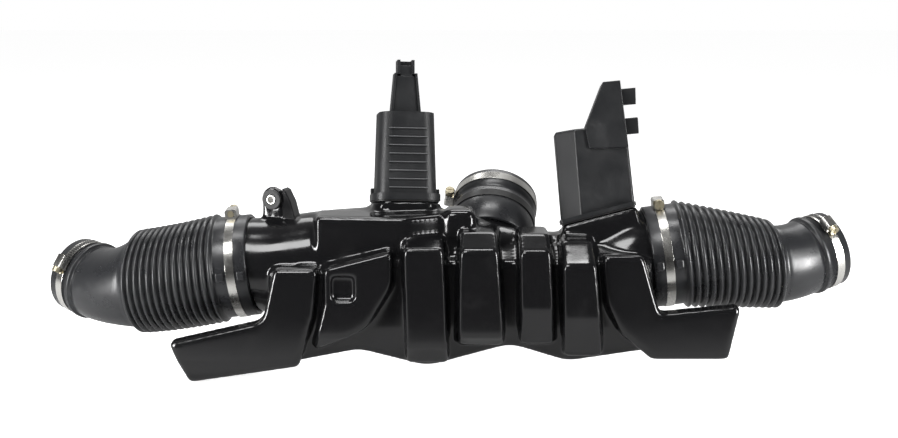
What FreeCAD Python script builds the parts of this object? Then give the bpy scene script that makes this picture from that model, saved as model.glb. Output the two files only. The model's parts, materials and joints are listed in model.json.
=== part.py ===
import FreeCAD, Part
import math
import os
import Sketcher

# Air intake resonator, drawn about the middle of its duct and moved at the end
# so that the mouth of the throttle hose is the origin. X right, Y to the rear, Z up.

doc = FreeCAD.newDocument("air_intake_resonator")
sheet = doc.addObject("Spreadsheet::Sheet", "Sheet")

SIZES = (
    # Duct
    ("wall", 3.0),
    ("spigot_r", 49.0),
    ("spigot_length", 27.0),
    ("duct_left_r", 51.0),
    ("duct_seat_r", 55.0),
    ("duct_middle_r", 50.0),
    ("duct_low_r", 45.0),
    ("duct_right_r", 47.0),
    ("duct_seat_lift", 3.0),
    ("duct_low_drop", 13.0),
    ("left_end_x", -240.0),
    ("left_end_z", -2.0),
    ("left_yaw", 4.7),
    ("left_pitch", -6.7),
    ("right_end_x", 166.0),
    ("right_end_z", 5.0),
    ("right_yaw", 1.3),
    ("right_pitch", 7.3),
    # Front chamber shared form
    ("chamber_back", -10.0),
    ("groove_floor", -62.0),
    ("base_left", -222.0),
    ("base_right", 166.0),
    ("base_brow", 12.0),
    ("base_cap", 24.0),
    ("base_crease", -58.0),
    ("base_bottom", -106.0),
    ("keel_left", -100.0),
    ("keel_first_dip_x", -132.0),
    ("keel_first_dip", -81.0),
    ("keel_belly_x", -62.0),
    ("keel_belly", -101.0),
    ("keel_second_dip_x", 23.0),
    ("keel_second_dip", -75.0),
    ("keel_heel_x", 82.0),
    ("keel_heel", -95.0),
    ("keel_right", -81.0),
    ("keel_round", 40.0),
    ("heel_depth", 18.0),
    ("cap_depth", 26.0),
    ("edge_round", 3.5),
    # Panel at the left of the chamber, one face with the left wing
    ("panel_left", -217.0),
    ("panel_right", -172.0),
    ("panel_top", 7.0),
    ("panel_waist_x", -177.0),
    ("panel_waist", -43.0),
    ("panel_round", 14.0),
    # Broad shield lobe
    ("shield_left_top", -166.0),
    ("shield_right", -97.0),
    ("shield_left_low", -179.0),
    ("shield_brow", 26.0),
    ("shield_slope", 18.0),
    ("shield_knee", -10.0),
    ("shield_hip_x", -123.0),
    ("shield_hip", -54.0),
    ("shield_bottom", -81.0),
    ("shield_face", -77.0),
    ("shield_round", 34.0),
    ("pocket_width", 24.0),
    ("pocket_height", 26.0),
    ("pocket_depth", 6.0),
    # Third lobe, the tall one
    ("tall_left_top", -86.0),
    ("tall_right_top", -46.0),
    ("tall_left_low", -83.0),
    ("tall_right_low", -40.0),
    ("tall_brow", 30.0),
    ("tall_cap", 36.0),
    ("tall_crease", -70.0),
    ("tall_bottom", -92.0),
    ("tall_face", -84.0),
    # Fourth lobe, left of the throttle
    ("inner_left_top", -29.0),
    ("inner_right_top", 8.0),
    ("inner_left_low", -31.0),
    ("inner_right_low", 17.0),
    ("inner_brow", 28.0),
    ("inner_cap", 43.0),
    ("inner_crease", -60.0),
    ("inner_bottom", -73.0),
    ("inner_face", -84.0),
    # Fifth lobe, right of the throttle
    ("outer_left_top", 30.0),
    ("outer_right_top", 61.0),
    ("outer_left_low", 33.0),
    ("outer_right_low", 68.0),
    ("outer_brow", 27.0),
    ("outer_cap", 41.0),
    ("outer_crease", -33.0),
    ("outer_bottom", -72.0),
    ("outer_face", -84.0),
    # Sixth lobe
    ("last_left_top", 73.0),
    ("last_right_top", 105.0),
    ("last_left_low", 77.0),
    ("last_right_low", 118.0),
    ("last_brow", 13.0),
    ("last_cap", 34.0),
    ("last_crease", -42.0),
    ("last_bottom", -85.0),
    ("last_face", -84.0),
    # Drum panel at the right, one face with the right wing
    ("drum_left", 114.0),
    ("drum_right_top", 156.0),
    ("drum_right_low", 168.0),
    ("drum_cap", 21.0),
    ("drum_waist", -20.0),
    ("drum_hip_x", 119.0),
    ("drum_hip", -30.0),
    ("drum_heel_x", 134.0),
    ("drum_heel", -60.0),
    ("drum_round", 30.0),
    # Wings
    ("left_wing_tip", -325.0),
    ("left_wing_top", -69.0),
    ("left_wing_root_top", -47.0),
    ("left_wing_toe", -306.0),
    ("left_wing_bottom", -114.0),
    ("left_wing_root_bottom", -95.0),
    ("left_wing_root", -229.0),
    ("left_wing_end", -193.0),
    ("right_wing_tip", 256.0),
    ("right_wing_top", -31.0),
    ("right_wing_root_top", -39.0),
    ("right_wing_toe", 244.0),
    ("right_wing_bottom", -87.0),
    ("right_wing_root", 174.0),
    ("right_wing_start", 166.0),
    ("wing_face", -74.0),
    ("wing_crease", -88.0),
    ("wing_back", -52.0),
    ("wing_heel", -60.0),
    ("wing_round", 4.0),
    # Flat-faced saddle under the left chamber, and the nose beside the throttle
    ("saddle_left", -176.0),
    ("saddle_crease", -84.0),
    ("saddle_right", -46.0),
    ("saddle_face", -59.0),
    ("saddle_side", -50.0),
    ("saddle_turn", -40.0),
    ("saddle_back", -4.0),
    ("saddle_low", 4.0),
    ("saddle_top", 57.0),
    ("nose_left", -46.0),
    ("nose_right", -12.0),
    ("nose_face", -46.0),
    ("nose_back", -6.0),
    ("nose_low", 14.0),
    ("nose_top", 63.0),
    ("nose_round", 9.0),
    # Throttle outlet
    ("throttle_yaw", 8.0),
    ("throttle_pitch", 34.0),
    ("throttle_spigot_r", 40.0),
    ("throttle_spigot_length", 70.0),
    ("throttle_hose_start", 53.0),
    ("throttle_mouth", 97.0),
    ("throttle_bore_r", 41.0),
    ("throttle_cuff_r", 45.0),
    ("throttle_cuff_length", 22.0),
    # Left hose
    ("hose_wall", 2.4),
    ("cuff_r", 53.0),
    ("rib_count", 14.0),
    ("rib_depth", 4.5),
    ("left_cuff_length", 34.0),
    ("left_rib_r", 57.0),
    ("left_rib_end_r", 55.5),
    ("left_bellows_end_x", -369.0),
    ("left_bellows_end_y", 30.0),
    ("left_bellows_end_z", -27.0),
    ("left_bellows_yaw", 15.2),
    ("left_bellows_pitch", -4.4),
    ("left_mouth_x", -446.0),
    ("left_mouth_y", 71.0),
    ("left_mouth_z", -27.5),
    ("left_mouth_yaw", 36.0),
    ("left_mouth_pitch", 9.0),
    # Right hose
    ("right_cuff_length", 32.0),
    ("right_rib_r", 57.0),
    ("right_rib_end_r", 47.5),
    ("right_bellows_end_x", 304.0),
    ("right_bellows_end_y", 20.0),
    ("right_bellows_end_z", -6.0),
    ("right_bellows_yaw", 10.8),
    ("right_bellows_pitch", 4.8),
    ("right_mouth_x", 369.0),
    ("right_mouth_y", 44.0),
    ("right_mouth_z", 6.5),
    ("right_mouth_yaw", 21.0),
    ("right_mouth_pitch", 13.0),
    # Inlet cuffs
    ("inlet_bore_r", 36.0),
    ("inlet_cuff_r", 40.0),
    ("inlet_cuff_length", 32.0),
    ("bead_height", 2.0),
    ("lug_width", 9.0),
    ("lug_length", 8.0),
    ("lug_height", 3.0),
    # Worm clamps
    ("band_width", 9.0),
    ("band_thickness", 0.8),
    ("band_gap", 0.1),
    ("housing_length", 14.0),
    ("housing_width", 12.5),
    ("housing_height", 9.5),
    ("housing_round", 3.0),
    ("worm_r", 3.4),
    ("worm_gap", 0.3),
    ("worm_lift", 4.8),
    ("head_r", 5.0),
    ("head_length", 5.0),
    ("slot_width", 1.2),
    ("slot_depth", 1.6),
    ("left_duct_clamp_roll", 60.0),
    ("left_inlet_clamp_roll", 8.0),
    ("right_duct_clamp_roll", 60.0),
    ("right_inlet_clamp_roll", 28.0),
    # Mount tab
    ("tab_x", -222.0),
    ("tab_y", -4.0),
    ("tab_z", 68.0),
    ("tab_yaw", 20.0),
    ("tab_width", 26.0),
    ("tab_thickness", 6.0),
    ("tab_hole_r", 7.0),
    ("tab_top", 13.0),
    ("grommet_r", 10.5),
    ("grommet_length", 14.0),
    ("grommet_gap", 0.1),
    ("sleeve_r", 5.0),
    ("sleeve_bore_r", 3.3),
    ("sleeve_length", 15.0),
    # Left tuning chamber
    ("left_seat_x", -86.0),
    ("left_seat_y", 5.0),
    ("left_seat_z", 62.0),
    ("left_lean", 14.0),
    ("left_turn", 10.0),
    ("left_collar_width", 72.0),
    ("left_collar_depth", 54.0),
    ("left_collar_height", 7.0),
    ("left_collar_round", 18.0),
    ("seal_thickness", 1.6),
    ("seal_inset", 1.5),
    ("left_foot_width", 64.0),
    ("left_foot_depth", 46.0),
    ("left_head_width", 58.0),
    ("left_height", 92.0),
    ("left_round", 14.0),
    ("left_wall", 2.5),
    ("rib_number", 8.0),
    ("rib_pitch", 8.8),
    ("rib_first", 12.0),
    ("rib_length", 40.0),
    ("rib_height", 1.4),
    ("rib_stand", 1.2),
    ("post_foot_width", 32.0),
    ("post_head_width", 24.0),
    ("post_height", 43.0),
    ("post_depth", 14.0),
    ("post_flange", 3.0),
    ("fork_height", 14.0),
    ("fork_width", 18.0),
    # Right tuning chamber
    ("right_seat_x", 116.0),
    ("right_seat_y", 2.0),
    ("right_seat_z", 48.0),
    ("right_slope", 14.5),
    ("right_lean", 12.0),
    ("right_tilt", 5.5),
    ("right_flange_width", 80.0),
    ("right_flange_depth", 60.0),
    ("right_flange_height", 4.0),
    ("right_foot_half", 39.0),
    ("right_foot_edge", -18.0),
    ("right_foot_front", -26.0),
    ("right_foot_back", 26.0),
    ("right_foot_side", -6.0),
    ("right_top_scale", 0.95),
    ("right_box_height", 92.0),
    ("right_round", 3.0),
    ("tower_left", -6.0),
    ("tower_right", 36.0),
    ("tower_top_left", 17.0),
    ("tower_top_right", 34.0),
    ("tower_height", 138.0),
    ("tower_step", 72.0),
    ("tower_front", -6.0),
    ("tower_back", 24.0),
    ("clip_length", 19.0),
    ("clip_height", 17.0),
    ("clip_thickness", 4.0),
    ("clip_slot", 7.0),
    ("clip_upper", 114.0),
    ("clip_lower", 83.0),
)

row = 0
for alias, value in SIZES:
    row = row + 1
    sheet.set("A%d" % row, alias)
    sheet.set("B%d" % row, str(value))
    sheet.setAlias("B%d" % row, alias)
doc.recompute()


# Shared helpers


def size(alias):
    return float(sheet.get(alias))


def cell(alias):
    return "Sheet." + alias


def vector(x, y, z):
    return FreeCAD.Vector(x, y, z)


def heading(side, yaw, pitch):
    """Unit direction pointing out to one side, turned to the rear by yaw and up by pitch."""
    flat = math.cos(math.radians(pitch))
    return vector(
        side * flat * math.cos(math.radians(yaw)),
        flat * math.sin(math.radians(yaw)),
        math.sin(math.radians(pitch)),
    )


def along(direction):
    """Turn that takes +Z to a direction, its X kept level with the front."""
    front = vector(0, -1, 0)
    front = front - direction * front.dot(direction)
    front.normalize()
    return FreeCAD.Rotation(front, direction.cross(front), direction, "ZXY")


def ring(name, centre, direction, radius):
    circle = doc.addObject("Part::Circle", name)
    circle.setExpression("Radius", radius)
    circle.Placement = FreeCAD.Placement(centre, along(direction))
    return circle


def loft(name, sections, ruled):
    body = doc.addObject("Part::Loft", name)
    body.Sections = sections
    body.Solid = True
    body.Ruled = ruled
    return body


def sketch(name, rotation, corners):
    """Closed outline whose corners are held by distances from the sketch's own zero."""
    outline = doc.addObject("Sketcher::SketchObject", name)
    outline.Placement = FreeCAD.Placement(vector(0, 0, 0), rotation)
    doc.recompute()
    spots = []
    for across, up in corners:
        spots.append((evaluate(across), evaluate(up)))
    count = len(spots)
    for index in range(count):
        start = spots[index]
        stop = spots[(index + 1) % count]
        outline.addGeometry(Part.LineSegment(vector(start[0], start[1], 0), vector(stop[0], stop[1], 0)))
    for index in range(count):
        outline.addConstraint(Sketcher.Constraint("Coincident", index, 2, (index + 1) % count, 1))
    for index in range(count):
        across, up = corners[index]
        number = outline.addConstraint(Sketcher.Constraint("DistanceX", -1, 1, index, 1, spots[index][0]))
        outline.setExpression("Constraints[%d]" % number, across)
        number = outline.addConstraint(Sketcher.Constraint("DistanceY", -1, 1, index, 1, spots[index][1]))
        outline.setExpression("Constraints[%d]" % number, up)
    return outline


def evaluate(expression):
    """Number that a sheet expression gives now."""
    return float(sheet.evalExpression(expression))


def extrude(name, outline, direction, length):
    body = doc.addObject("Part::Extrusion", name)
    body.Base = outline
    body.DirMode = "Custom"
    body.Dir = direction
    body.Solid = True
    body.setExpression("LengthFwd", length)
    return body


def fuse(name, shapes):
    body = doc.addObject("Part::MultiFuse", name)
    body.Shapes = shapes
    body.Refine = False
    return body


def common(name, shapes):
    body = doc.addObject("Part::MultiCommon", name)
    body.Shapes = shapes
    return body


def cut(name, base, tool):
    body = doc.addObject("Part::Cut", name)
    body.Base = base
    body.Tool = tool
    body.Refine = False
    return body


def rounded(name, base, radius, keep=None):
    """Rounds the edges of a solid that the test picks, or all of them."""
    doc.recompute()
    body = doc.addObject("Part::Fillet", name)
    body.Base = base
    edges = []
    for index, edge in enumerate(base.Shape.Edges):
        if keep is None or keep(edge):
            edges.append((index + 1, radius, radius))
    body.Edges = edges
    return body


def box(name, length, width, height, placement):
    body = doc.addObject("Part::Box", name)
    body.setExpression("Length", length)
    body.setExpression("Width", width)
    body.setExpression("Height", height)
    body.Placement = placement
    return body


def cylinder(name, radius, height, placement):
    body = doc.addObject("Part::Cylinder", name)
    body.setExpression("Radius", radius)
    body.setExpression("Height", height)
    body.Placement = placement
    return body


def wedge(name, foot_width, head_width, depth, height, placement):
    """Block standing on local XY, as deep at the top as at the foot but narrower."""
    body = doc.addObject("Part::Wedge", name)
    for side, sign in (("min", "-"), ("max", "")):
        body.setExpression("X" + side, sign + "(" + foot_width + ") / 2")
        body.setExpression("X2" + side, sign + "(" + head_width + ") / 2")
        body.setExpression("Z" + side, sign + "(" + depth + ") / 2")
        body.setExpression("Z2" + side, sign + "(" + depth + ") / 2")
    body.setExpression("Ymin", "0")
    body.setExpression("Ymax", height)
    body.Placement = placement.multiply(FreeCAD.Placement(vector(0, 0, 0), UPRIGHT))
    return body


def upright_edges(axis):
    """Test for straight edges that run nearly along an axis."""
    def runs(edge):
        if len(edge.Vertexes) < 2:
            return False
        way = edge.Vertexes[1].Point - edge.Vertexes[0].Point
        return way.Length > 1.0 and abs(way.normalize().dot(axis)) > 0.9
    return runs


FRONT_PLANE = FreeCAD.Rotation(vector(1, 0, 0), 90)
SIDE_PLANE = FreeCAD.Rotation(vector(1, 1, 1), 120)
UPRIGHT = FreeCAD.Rotation(vector(1, 0, 0), 90)
REARWARD = vector(0, 1, 0)
RIGHTWARD = vector(1, 0, 0)

left_out = heading(-1, size("left_yaw"), size("left_pitch"))
right_out = heading(1, size("right_yaw"), size("right_pitch"))
throttle_out = vector(
    math.sin(math.radians(size("throttle_yaw"))) * math.cos(math.radians(size("throttle_pitch"))),
    math.cos(math.radians(size("throttle_yaw"))) * math.cos(math.radians(size("throttle_pitch"))),
    math.sin(math.radians(size("throttle_pitch"))),
)
left_end = vector(size("left_end_x"), 0, size("left_end_z"))
right_end = vector(size("right_end_x"), 0, size("right_end_z"))
finished = []


# Resonator body: duct, outside and inside


def duct(name, thinner):
    span_left = left_end.x
    span_right = right_end.x
    sections = [
        ring(name + "_a", left_end, left_out * -1, cell("spigot_r") + thinner),
        ring(
            name + "_b", vector(span_left * 0.82, 0, 0), RIGHTWARD,
            cell("duct_left_r") + thinner,
        ),
        ring(
            name + "_c", vector(span_left * 0.5, 0, size("duct_seat_lift")), RIGHTWARD,
            cell("duct_seat_r") + thinner,
        ),
        ring(
            name + "_d", vector(span_left * 0.2, 0, size("duct_seat_lift") * 0.4), RIGHTWARD,
            cell("duct_seat_r") + thinner,
        ),
        ring(name + "_e", vector(0, 0, -size("duct_seat_lift")), RIGHTWARD, cell("duct_middle_r") + thinner),
        ring(
            name + "_f", vector(span_right * 0.42, 0, -size("duct_low_drop")), RIGHTWARD,
            cell("duct_low_r") + thinner,
        ),
        ring(
            name + "_g", vector(span_right * 0.78, 0, 0), RIGHTWARD,
            cell("duct_right_r") + thinner,
        ),
        ring(name + "_h", right_end, right_out, cell("spigot_r") + thinner),
    ]
    return loft(name, sections, False)


duct_outside = duct("duct_outside", "")
duct_inside = duct("duct_inside", " - Sheet.wall")
left_spigot = cylinder(
    "left_spigot", cell("spigot_r"), cell("spigot_length"),
    FreeCAD.Placement(left_end, along(left_out)),
)
right_spigot = cylinder(
    "right_spigot", cell("spigot_r"), cell("spigot_length"),
    FreeCAD.Placement(right_end, along(right_out)),
)
left_bore = cylinder(
    "left_bore", "Sheet.spigot_r - Sheet.wall", "Sheet.spigot_length + 1",
    FreeCAD.Placement(left_end, along(left_out)),
)
right_bore = cylinder(
    "right_bore", "Sheet.spigot_r - Sheet.wall", "Sheet.spigot_length + 1",
    FreeCAD.Placement(right_end, along(right_out)),
)
throttle_spigot = cylinder(
    "throttle_spigot", cell("throttle_spigot_r"), cell("throttle_spigot_length"),
    FreeCAD.Placement(vector(0, 0, 0), along(throttle_out)),
)
throttle_bore = cylinder(
    "throttle_bore", "Sheet.throttle_spigot_r - Sheet.wall", "Sheet.throttle_spigot_length + 1",
    FreeCAD.Placement(vector(0, 0, 0), along(throttle_out)),
)


# Resonator body: front chamber and its lobes


SLAB_FRONT = -120.0
SLAB_DEPTH = "200"
BEAM_LEFT = -400.0
BEAM_LENGTH = "800"


def corner_edges(corners):
    """Test for edges that run front to back through some corners of an outline."""
    places = [(evaluate(across), evaluate(up)) for across, up in corners]

    def at_corner(edge):
        middle = edge.CenterOfMass
        for across, up in places:
            if abs(middle.x - across) < NEAR and abs(middle.z - up) < NEAR:
                return upright_edges(REARWARD)(edge)
        return False
    return at_corner


NEAR = 0.5


def slab_of(name, front, soft, radius):
    """Front outline pushed through the chamber, with some of its corners curved."""
    outline = sketch(name + "_front", FRONT_PLANE, front)
    slab = extrude(name + "_slab", outline, REARWARD, SLAB_DEPTH)
    slab.Placement = FreeCAD.Placement(vector(0, SLAB_FRONT, 0), FreeCAD.Rotation())
    if soft:
        slab = rounded(name + "_curved", slab, radius, corner_edges(soft))
    return slab


def beam_of(name, side):
    """Side profile run along the whole chamber."""
    outline = sketch(name + "_side", SIDE_PLANE, side)
    beam = extrude(name + "_beam", outline, RIGHTWARD, BEAM_LENGTH)
    beam.Placement = FreeCAD.Placement(vector(BEAM_LEFT, 0, 0), FreeCAD.Rotation())
    return beam


def lobe(name, front, face, brow, cap, crease, bottom, soft=(), radius=0.0):
    """Raised lobe: a front outline crossed with a side profile, then rounded."""
    slab = slab_of(name, front, soft, radius)
    beam = beam_of(name, (
        (cell("chamber_back"), bottom),
        (face + " + Sheet.heel_depth", bottom),
        (face, crease),
        (face, brow),
        (face + " + Sheet.cap_depth", cap),
        (cell("chamber_back"), cap),
    ))
    return rounded(name, common(name + "_block", [slab, beam]), size("edge_round"))


def four_sided(name):
    high = "Sheet.%s_cap + 10" % name
    low = "Sheet.%s_bottom - 10" % name
    return lobe(
        name + "_lobe",
        (
            (cell(name + "_left_low"), low),
            (cell(name + "_right_low"), low),
            (cell(name + "_right_top"), high),
            (cell(name + "_left_top"), high),
        ),
        cell(name + "_face"), cell(name + "_brow"), cell(name + "_cap"),
        cell(name + "_crease"), cell(name + "_bottom"),
    )


KEEL_WAVES = (
    (cell("keel_first_dip_x"), cell("keel_first_dip")),
    (cell("keel_belly_x"), cell("keel_belly")),
    (cell("keel_second_dip_x"), cell("keel_second_dip")),
    (cell("keel_heel_x"), cell("keel_heel")),
)
base = lobe(
    "chamber_base",
    (
        (cell("base_left"), cell("keel_left")),
        *KEEL_WAVES,
        (cell("base_right"), cell("keel_right")),
        (cell("base_right"), "Sheet.drum_cap - 8"),
        (cell("last_right_top"), "Sheet.base_cap + 10"),
        (cell("shield_right"), "Sheet.base_cap + 10"),
        (cell("panel_right"), "Sheet.panel_top - 4"),
        (cell("base_left"), "Sheet.panel_top - 4"),
    ),
    cell("groove_floor"), cell("base_brow"), cell("base_cap"), cell("base_crease"), cell("base_bottom"),
    KEEL_WAVES, size("keel_round"),
)
SHIELD_CURVE = (
    (cell("shield_hip_x"), cell("shield_hip")),
    (cell("shield_right"), cell("shield_knee")),
)
shield = lobe(
    "shield_lobe",
    (
        (cell("shield_left_low"), cell("shield_bottom")),
        *SHIELD_CURVE,
        (cell("shield_right"), cell("shield_brow")),
        (cell("shield_left_top"), "Sheet.shield_brow - Sheet.shield_slope"),
        (cell("shield_left_top"), "Sheet.shield_knee - Sheet.shield_slope"),
    ),
    cell("shield_face"), "Sheet.shield_brow + 2", "Sheet.shield_brow + 8",
    "Sheet.shield_hip - 8", "Sheet.shield_bottom - 2",
    SHIELD_CURVE, size("shield_round"),
)
pocket = box(
    "shield_pocket", cell("pocket_width"), "2 * Sheet.pocket_depth", cell("pocket_height"),
    FreeCAD.Placement(
        vector(
            size("shield_left_top") + 7, size("shield_face") - size("pocket_depth"),
            size("shield_brow") - size("shield_slope") - 7 - size("pocket_height"),
        ),
        FreeCAD.Rotation(),
    ),
)


def wing(name, corners, soft, radius):
    """Broad flat panel that runs out into a wing under a hose."""
    slab = slab_of(name, corners, soft, radius)
    beam = beam_of(name, (
        (cell("wing_back"), "Sheet.left_wing_bottom - 5"),
        (cell("wing_heel"), "Sheet.left_wing_bottom - 5"),
        (cell("wing_face"), cell("wing_crease")),
        (cell("wing_face"), cell("base_cap")),
        (cell("wing_back"), cell("base_cap")),
    ))
    return rounded(name, common(name + "_block", [slab, beam]), size("wing_round"))


LEFT_ROOT = (cell("left_wing_root"), cell("left_wing_root_top"))
left_wing = wing(
    "left_wing",
    (
        (cell("left_wing_toe"), cell("left_wing_bottom")),
        (cell("left_wing_end"), cell("left_wing_root_bottom")),
        (cell("panel_waist_x"), cell("panel_waist")),
        (cell("panel_right"), cell("panel_top")),
        (cell("panel_left"), cell("panel_top")),
        LEFT_ROOT,
        (cell("left_wing_tip"), cell("left_wing_top")),
    ),
    (LEFT_ROOT,), size("panel_round"),
)
DRUM_HEEL = (cell("drum_heel_x"), cell("drum_heel"))
right_wing = wing(
    "right_wing",
    (
        (cell("right_wing_start"), cell("right_wing_bottom")),
        (cell("right_wing_toe"), cell("right_wing_bottom")),
        (cell("right_wing_tip"), cell("right_wing_top")),
        (cell("right_wing_root"), cell("right_wing_root_top")),
        (cell("drum_right_low"), cell("drum_waist")),
        (cell("drum_right_top"), cell("drum_cap")),
        (cell("drum_left"), cell("drum_cap")),
        (cell("drum_hip_x"), cell("drum_hip")),
        DRUM_HEEL,
    ),
    (DRUM_HEEL,), size("drum_round"),
)


# Resonator body: flat-faced saddle and the nose beside the throttle

saddle_plan = sketch("saddle_plan", FreeCAD.Rotation(), (
    (cell("saddle_left"), cell("saddle_back")),
    (cell("saddle_left"), cell("saddle_side")),
    (cell("saddle_crease"), cell("saddle_face")),
    (cell("saddle_right"), cell("saddle_turn")),
    (cell("saddle_right"), cell("saddle_back")),
))
saddle_block = extrude("saddle_block", saddle_plan, vector(0, 0, 1), "Sheet.saddle_top - Sheet.saddle_low")
saddle_block.Placement = FreeCAD.Placement(vector(0, 0, size("saddle_low")), FreeCAD.Rotation())
saddle = rounded("saddle", saddle_block, size("edge_round"))
nose_block = box(
    "nose_block", "Sheet.nose_right - Sheet.nose_left", "Sheet.nose_back - Sheet.nose_face",
    "Sheet.nose_top - Sheet.nose_low",
    FreeCAD.Placement(vector(size("nose_left"), size("nose_face"), size("nose_low")), FreeCAD.Rotation()),
)
nose = rounded("nose", nose_block, size("nose_round"))


# Resonator body: seats for the two tuning chambers and the bracket tab

left_seat = FreeCAD.Placement(
    vector(size("left_seat_x"), size("left_seat_y"), size("left_seat_z")),
    FreeCAD.Rotation(vector(1, 0, 0), -size("left_lean")).multiply(
        FreeCAD.Rotation(vector(0, 0, 1), size("left_turn"))
    ),
)
right_seat = FreeCAD.Placement(
    vector(size("right_seat_x"), size("right_seat_y"), size("right_seat_z")),
    FreeCAD.Rotation(vector(0, 1, 0), -size("right_slope")).multiply(
        FreeCAD.Rotation(vector(1, 0, 0), -size("right_lean"))
    ),
)
left_up = left_seat.Rotation.multVec(vector(0, 0, 1))
right_stand = FreeCAD.Placement(
    right_seat.Base,
    FreeCAD.Rotation(vector(0, 1, 0), -size("right_tilt")).multiply(
        FreeCAD.Rotation(vector(1, 0, 0), -size("right_lean"))
    ),
)


def pad(name, seat, width, depth, low, height, radius):
    """Rounded plate lying on a seat plane, its middle on the seat's axis."""
    plate = box(
        name + "_plate", width, depth, height,
        seat.multiply(FreeCAD.Placement(
            vector(-evaluate(width) / 2, -evaluate(depth) / 2, low), FreeCAD.Rotation(),
        )),
    )
    up = seat.Rotation.multVec(vector(0, 0, 1))
    return rounded(name, plate, radius, upright_edges(up))


SEAT_REACH = 40.0
left_platform = pad(
    "left_platform", left_seat, cell("left_collar_width"), cell("left_collar_depth"),
    -SEAT_REACH, "40", size("left_collar_round"),
)
left_port = pad(
    "left_port", left_seat, "Sheet.left_foot_width - 4 * Sheet.left_wall",
    "Sheet.left_foot_depth - 4 * Sheet.left_wall", -SEAT_REACH - 15, "60", size("left_round") - 5,
)
right_platform = pad(
    "right_platform", right_seat, cell("right_flange_width"), cell("right_flange_depth"),
    -SEAT_REACH, "40", size("right_round"),
)
right_port = pad(
    "right_port", right_seat, "Sheet.right_flange_width - 24", "Sheet.right_flange_depth - 24",
    -SEAT_REACH - 15, "60", size("right_round"),
)
tab_place = FreeCAD.Placement(
    vector(size("tab_x"), size("tab_y"), size("tab_z")),
    FreeCAD.Rotation(vector(0, 0, 1), -size("tab_yaw")),
)
tab_plate = box(
    "tab_plate", cell("tab_width"), cell("tab_thickness"), "Sheet.tab_top + 35",
    tab_place.multiply(FreeCAD.Placement(
        vector(-size("tab_width") / 2, -size("tab_thickness") / 2, -35), FreeCAD.Rotation(),
    )),
)
tab_facing = tab_place.Rotation.multVec(vector(0, 1, 0))
tab = rounded("tab", tab_plate, size("tab_top") - 2, lambda edge: (
    upright_edges(tab_facing)(edge) and edge.CenterOfMass.z > size("tab_z")
))
tab_hole = cylinder(
    "tab_hole", cell("tab_hole_r"), "40",
    tab_place.multiply(FreeCAD.Placement(vector(0, -20, 0), FreeCAD.Rotation(vector(1, 0, 0), -90))),
)

body_outside = fuse("body_outside", [
    duct_outside, left_spigot, right_spigot, throttle_spigot, base, shield, saddle, nose,
    four_sided("tall"), four_sided("inner"), four_sided("outer"), four_sided("last"),
    left_wing, right_wing, left_platform, right_platform, tab,
])
body_hollows = (left_bore, right_bore, throttle_bore, left_port, right_port, tab_hole, pocket)
hollowed = body_outside
for hollow in body_hollows:
    hollowed = cut("body_less_" + hollow.Name, hollowed, hollow)
finished.append(("resonator_body", cut("resonator_body", hollowed, duct_inside)))


# Bellows hoses


def blend(first, second, share):
    return first * (1 - share) + second * share


def hose(name, start, out, cuff_length, bellows_end, bellows_out, mouth, mouth_out, rib_r, rib_end_r):
    """Moulded rubber hose: duct cuff, ribbed bellows, bent neck and inlet cuff."""
    outer = []
    inner = []

    def station(index, centre, direction, outside, inside):
        outer.append(ring("%s_o%d" % (name, index), centre, direction, outside))
        inner.append(ring("%s_i%d" % (name, index), centre, direction, inside))

    back = start + out * size(cuff_length)
    cuff_bore = "Sheet.spigot_r + Sheet.band_gap"
    station(0, start, out, cell("cuff_r"), cuff_bore)
    station(1, back, out, cell("cuff_r"), cuff_bore)
    count = int(round(size("rib_count")))
    steps = 2 * count
    reach = (bellows_end - back).Length
    for step in range(1, steps + 1):
        share = step / steps
        lead = back + out * reach * share
        trail = bellows_end - bellows_out * reach * (1 - share)
        centre = blend(lead, trail, share)
        direction = blend(out, bellows_out, share)
        direction.normalize()
        crest = "(%s * %f + %s * %f)" % (cell(rib_r), 1 - share, cell(rib_end_r), share)
        if step % 2 == 0:
            crest = crest + " - Sheet.rib_depth"
        station(step + 1, centre, direction, crest, crest + " - Sheet.hose_wall")
    cuff_start = mouth - mouth_out * size("inlet_cuff_length")
    reach = (cuff_start - bellows_end).Length
    bends = 5
    for bend in range(1, bends + 1):
        share = bend / bends
        lead = bellows_end + bellows_out * reach * share
        trail = cuff_start - mouth_out * reach * (1 - share)
        ease = share * share * (3 - 2 * share)
        direction = blend(bellows_out, mouth_out, share)
        direction.normalize()
        outside = "(%s - Sheet.rib_depth) * %f + Sheet.inlet_cuff_r * %f" % (cell(rib_end_r), 1 - ease, ease)
        inside = "(%s - Sheet.rib_depth - Sheet.hose_wall) * %f + Sheet.inlet_bore_r * %f" % (
            cell(rib_end_r), 1 - ease, ease,
        )
        station(steps + 1 + bend, blend(lead, trail, share), direction, outside, inside)
    station(steps + bends + 2, mouth, mouth_out, cell("inlet_cuff_r"), cell("inlet_bore_r"))
    skin = loft(name + "_skin", outer, True)
    hollow = loft(name + "_hollow", inner, True)
    bead = cylinder(
        name + "_bead", "Sheet.inlet_cuff_r + Sheet.bead_height", "2 * Sheet.bead_height",
        FreeCAD.Placement(mouth - mouth_out * (size("inlet_cuff_length") - 3), along(mouth_out)),
    )
    lugs = []
    for index, along_cuff in enumerate((2.0, size(cuff_length) - size("lug_length") - 2.0)):
        place = FreeCAD.Placement(start + out * along_cuff, along(out))
        lugs.append(box(
            "%s_lug%d" % (name, index), "Sheet.cuff_r + Sheet.lug_height", cell("lug_width"), cell("lug_length"),
            place.multiply(FreeCAD.Placement(vector(0, -size("lug_width") / 2, 0), FreeCAD.Rotation())),
        ))
    return cut(name, fuse(name + "_solid", [skin, bead] + lugs), hollow)


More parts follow.
